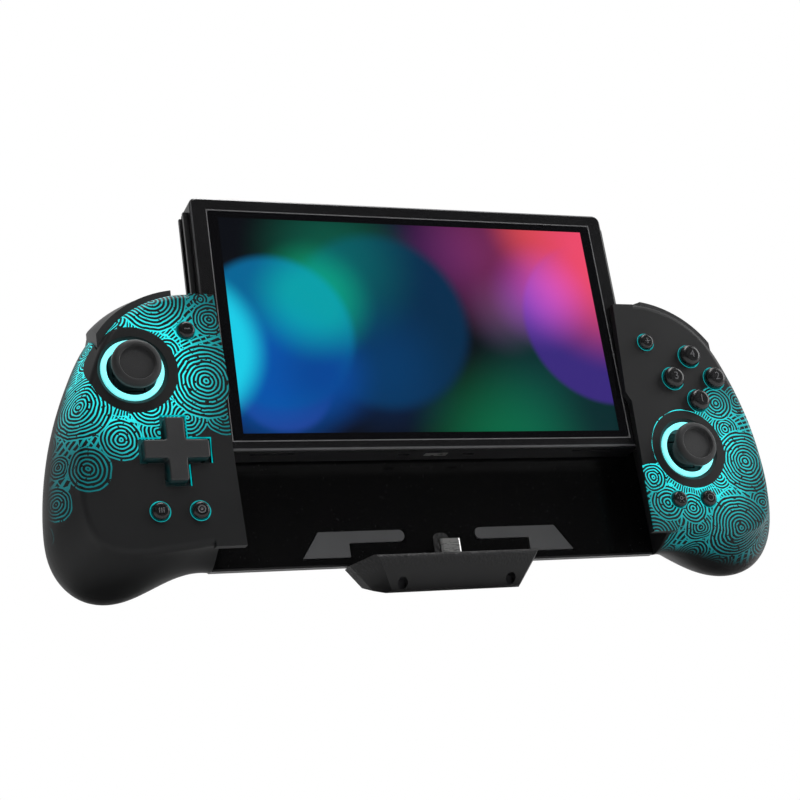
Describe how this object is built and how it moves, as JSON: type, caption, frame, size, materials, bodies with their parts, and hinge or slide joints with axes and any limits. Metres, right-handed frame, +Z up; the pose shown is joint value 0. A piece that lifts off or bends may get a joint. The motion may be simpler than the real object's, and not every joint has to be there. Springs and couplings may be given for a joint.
{
  "type": "game console with controller",
  "caption": "Handheld game tablet part-way into a one-piece grip controller: two lit grips joined by a back plate, with thumbsticks, direction cross, buttons, triggers and a dock plug.",
  "frame": {"origin": "on the middle plane, half-way through the depth, level with the underside of the dock chin", "axes": "+X to the player's right, -Y towards the player (screen faces -Y), +Z up"},
  "size_m": [0.296, 0.056, 0.1547],
  "materials": {
    "grip_shell": "fine matt, with a luminous line pattern",
    "gloss_plate": "polished black",
    "bridge_plastic": "matt",
    "dock_plastic": "fine spark texture",
    "pad_grey": "satin",
    "plug_metal": "satin nickel",
    "insulator": "moulded",
    "screw_black": "black oxide",
    "light_guide": "translucent, lit pale cyan",
    "stick_module": "moulded",
    "stick_rubber": "soft touch",
    "cross_plastic": "satin",
    "button_gloss": "gloss",
    "trigger_plastic": "satin",
    "circuit_board": "solder mask",
    "membrane_rubber": "silicone",
    "ribbon": "polyimide film",
    "motor_metal": "drawn can",
    "pin_steel": "ground",
    "tablet_shell": "fine matt",
    "tablet_frame": "satin",
    "screen_glass": "polished",
    "display": "display panel",
    "battery_foil": "wrapped cell",
    "rail_black": "satin black",
    "jack_plastic": "moulded"
  },
  "bodies": {
    "controller": {"back_plate": "gloss_plate", "bridge_rear_cover": "bridge_plastic", "bridge_ribbon": "ribbon", "chin_cover": "dock_plastic", "chin_rear_cover": "dock_plastic", "cover_screws": "screw_black", "left_button_membrane": "membrane_rubber", "left_circuit_board": "circuit_board", "left_front_shell": "grip_shell", "left_light_ring": "light_guide", "left_rear_shell": "grip_shell", "left_stick_housing": "stick_module", "plate_pads": "pad_grey", "plug_core": "insulator", "plug_shell": "plug_metal", "right_button_membrane": "membrane_rubber", "right_circuit_board": "circuit_board", "right_front_shell": "grip_shell", "right_light_ring": "light_guide", "right_rear_shell": "grip_shell", "right_stick_housing": "stick_module", "rumble_motors": "motor_metal", "trigger_pins": "pin_steel"},
    "left_stick_rocker": {"left_stick_rocker": "stick_module"},
    "left_stick_cross": {"left_stick_cross": "stick_module"},
    "left_stick": {"left_stick_cap": "stick_rubber"},
    "right_stick_rocker": {"right_stick_rocker": "stick_module"},
    "right_stick_cross": {"right_stick_cross": "stick_module"},
    "right_stick": {"right_stick_cap": "stick_rubber"},
    "cross_pivot": {"cross_pivot": "cross_plastic"},
    "direction_cross": {"direction_cross": "cross_plastic"},
    "top_face_button": {"top_face_button": "button_gloss"},
    "right_face_button": {"right_face_button": "button_gloss"},
    "bottom_face_button": {"bottom_face_button": "button_gloss"},
    "left_face_button": {"left_face_button": "button_gloss"},
    "minus_button": {"minus_button": "button_gloss"},
    "turbo_button": {"turbo_button": "button_gloss"},
    "capture_button": {"capture_button": "button_gloss"},
    "plus_button": {"plus_button": "button_gloss"},
    "light_button": {"light_button": "button_gloss"},
    "home_button": {"home_button": "button_gloss"},
    "left_bumper": {"left_bumper": "trigger_plastic"},
    "left_trigger": {"left_trigger": "trigger_plastic"},
    "left_rear_button": {"left_rear_button": "trigger_plastic"},
    "right_bumper": {"right_bumper": "trigger_plastic"},
    "right_trigger": {"right_trigger": "trigger_plastic"},
    "right_rear_button": {"right_rear_button": "trigger_plastic"},
    "tablet": {"tablet_rear_shell": "tablet_shell", "tablet_front_frame": "tablet_frame", "tablet_glass": "screen_glass", "tablet_display_panel": "display", "tablet_battery": "battery_foil", "tablet_mainboard": "circuit_board", "tablet_usb_port": "plug_metal", "tablet_headphone_jack": "jack_plastic", "tablet_side_rails": "rail_black", "tablet_kickstand": "tablet_shell"},
    "tablet_power_button": {"tablet_power_button": "tablet_shell"},
    "tablet_volume_rocker": {"tablet_volume_rocker": "tablet_shell"},
    "tablet_card_door": {"tablet_card_door": "tablet_shell"}
  },
  "joints": [
    {"name": "left_stick_click", "type": "slide", "parent": "controller", "child": "left_stick_rocker", "axis": [0, 1, 0], "range_m": [0, 0.0004], "stiffness_N_per_m": 4000, "springref_m": -0.0001},
    {"name": "left_stick_up_down", "type": "hinge", "parent": "left_stick_rocker", "child": "left_stick_cross", "pos_m": [-0.1167, -0.012, 0.082], "axis": [1, 0, 0], "range_deg": [-14, 14], "stiffness_Nm_per_rad": 0.06},
    {"name": "left_stick_left_right", "type": "hinge", "parent": "left_stick_cross", "child": "left_stick", "pos_m": [-0.1167, -0.012, 0.082], "axis": [0, 0, 1], "range_deg": [-14, 14], "stiffness_Nm_per_rad": 0.06},
    {"name": "right_stick_click", "type": "slide", "parent": "controller", "child": "right_stick_rocker", "axis": [0, 1, 0], "range_m": [0, 0.0004], "stiffness_N_per_m": 4000, "springref_m": -0.0001},
    {"name": "right_stick_up_down", "type": "hinge", "parent": "right_stick_rocker", "child": "right_stick_cross", "pos_m": [0.1053, -0.012, 0.0494], "axis": [1, 0, 0], "range_deg": [-14, 14], "stiffness_Nm_per_rad": 0.06},
    {"name": "right_stick_left_right", "type": "hinge", "parent": "right_stick_cross", "child": "right_stick", "pos_m": [0.1053, -0.012, 0.0494], "axis": [0, 0, 1], "range_deg": [-14, 14], "stiffness_Nm_per_rad": 0.06},
    {"name": "cross_up_down", "type": "hinge", "parent": "controller", "child": "cross_pivot", "pos_m": [-0.1042, -0.0165, 0.0514], "axis": [1, 0, 0], "range_deg": [-3.5, 3.5], "stiffness_Nm_per_rad": 0.5},
    {"name": "cross_left_right", "type": "hinge", "parent": "cross_pivot", "child": "direction_cross", "pos_m": [-0.1042, -0.0165, 0.0514], "axis": [0, 0, 1], "range_deg": [-3.5, 3.5], "stiffness_Nm_per_rad": 0.5},
    {"name": "top_face_press", "type": "slide", "parent": "controller", "child": "top_face_button", "axis": [0, 1, 0], "range_m": [0, 0.001], "stiffness_N_per_m": 700},
    {"name": "right_face_press", "type": "slide", "parent": "controller", "child": "right_face_button", "axis": [0, 1, 0], "range_m": [0, 0.001], "stiffness_N_per_m": 700},
    {"name": "bottom_face_press", "type": "slide", "parent": "controller", "child": "bottom_face_button", "axis": [0, 1, 0], "range_m": [0, 0.001], "stiffness_N_per_m": 700},
    {"name": "left_face_press", "type": "slide", "parent": "controller", "child": "left_face_button", "axis": [0, 1, 0], "range_m": [0, 0.001], "stiffness_N_per_m": 700},
    {"name": "minus_press", "type": "slide", "parent": "controller", "child": "minus_button", "axis": [0, 1, 0], "range_m": [0, 0.001], "stiffness_N_per_m": 700},
    {"name": "turbo_press", "type": "slide", "parent": "controller", "child": "turbo_button", "axis": [0, 1, 0], "range_m": [0, 0.001], "stiffness_N_per_m": 700},
    {"name": "capture_press", "type": "slide", "parent": "controller", "child": "capture_button", "axis": [0, 1, 0], "range_m": [0, 0.001], "stiffness_N_per_m": 700},
    {"name": "plus_press", "type": "slide", "parent": "controller", "child": "plus_button", "axis": [0, 1, 0], "range_m": [0, 0.001], "stiffness_N_per_m": 700},
    {"name": "light_press", "type": "slide", "parent": "controller", "child": "light_button", "axis": [0, 1, 0], "range_m": [0, 0.001], "stiffness_N_per_m": 700},
    {"name": "home_press", "type": "slide", "parent": "controller", "child": "home_button", "axis": [0, 1, 0], "range_m": [0, 0.001], "stiffness_N_per_m": 700},
    {"name": "left_bumper_press", "type": "hinge", "parent": "controller", "child": "left_bumper", "pos_m": [-0.099, -0.0085, 0.1114], "axis": [0, -1, 0], "range_deg": [0, 2.2], "stiffness_Nm_per_rad": 1.2},
    {"name": "left_trigger_pull", "type": "hinge", "parent": "controller", "child": "left_trigger", "pos_m": [-0.1135, 0.0037, 0.1018], "axis": [-0.8757, 0, -0.4828], "range_deg": [0, 8], "stiffness_Nm_per_rad": 0.35},
    {"name": "left_rear_press", "type": "slide", "parent": "controller", "child": "left_rear_button", "axis": [0, -1, 0], "range_m": [0, 0.0008], "stiffness_N_per_m": 900},
    {"name": "right_bumper_press", "type": "hinge", "parent": "controller", "child": "right_bumper", "pos_m": [0.099, -0.0085, 0.1114], "axis": [0, 1, 0], "range_deg": [0, 2.2], "stiffness_Nm_per_rad": 1.2},
    {"name": "right_trigger_pull", "type": "hinge", "parent": "controller", "child": "right_trigger", "pos_m": [0.1135, 0.0037, 0.1018], "axis": [-0.8757, 0, 0.4828], "range_deg": [0, 8], "stiffness_Nm_per_rad": 0.35},
    {"name": "right_rear_press", "type": "slide", "parent": "controller", "child": "right_rear_button", "axis": [0, -1, 0], "range_m": [0, 0.0008], "stiffness_N_per_m": 900},
    {"name": "tablet_slide", "type": "slide", "parent": "controller", "child": "tablet", "axis": [0, 0, 1], "range_m": [-0.0399, 0.065]},
    {"name": "power_press", "type": "slide", "parent": "tablet", "child": "tablet_power_button", "axis": [0, 0, -1], "range_m": [0, 0.0004], "stiffness_N_per_m": 1500},
    {"name": "volume_rock", "type": "hinge", "parent": "tablet", "child": "tablet_volume_rocker", "pos_m": [-0.053, -0.01005, 0.1532], "axis": [0, 1, 0], "range_deg": [-1.4, 1.4], "stiffness_Nm_per_rad": 0.1},
    {"name": "card_door_open", "type": "hinge", "parent": "tablet", "child": "tablet_card_door", "pos_m": [0.03, -0.01005, 0.1543], "axis": [0, -1, 0], "range_deg": [0, 95]}
  ]
}
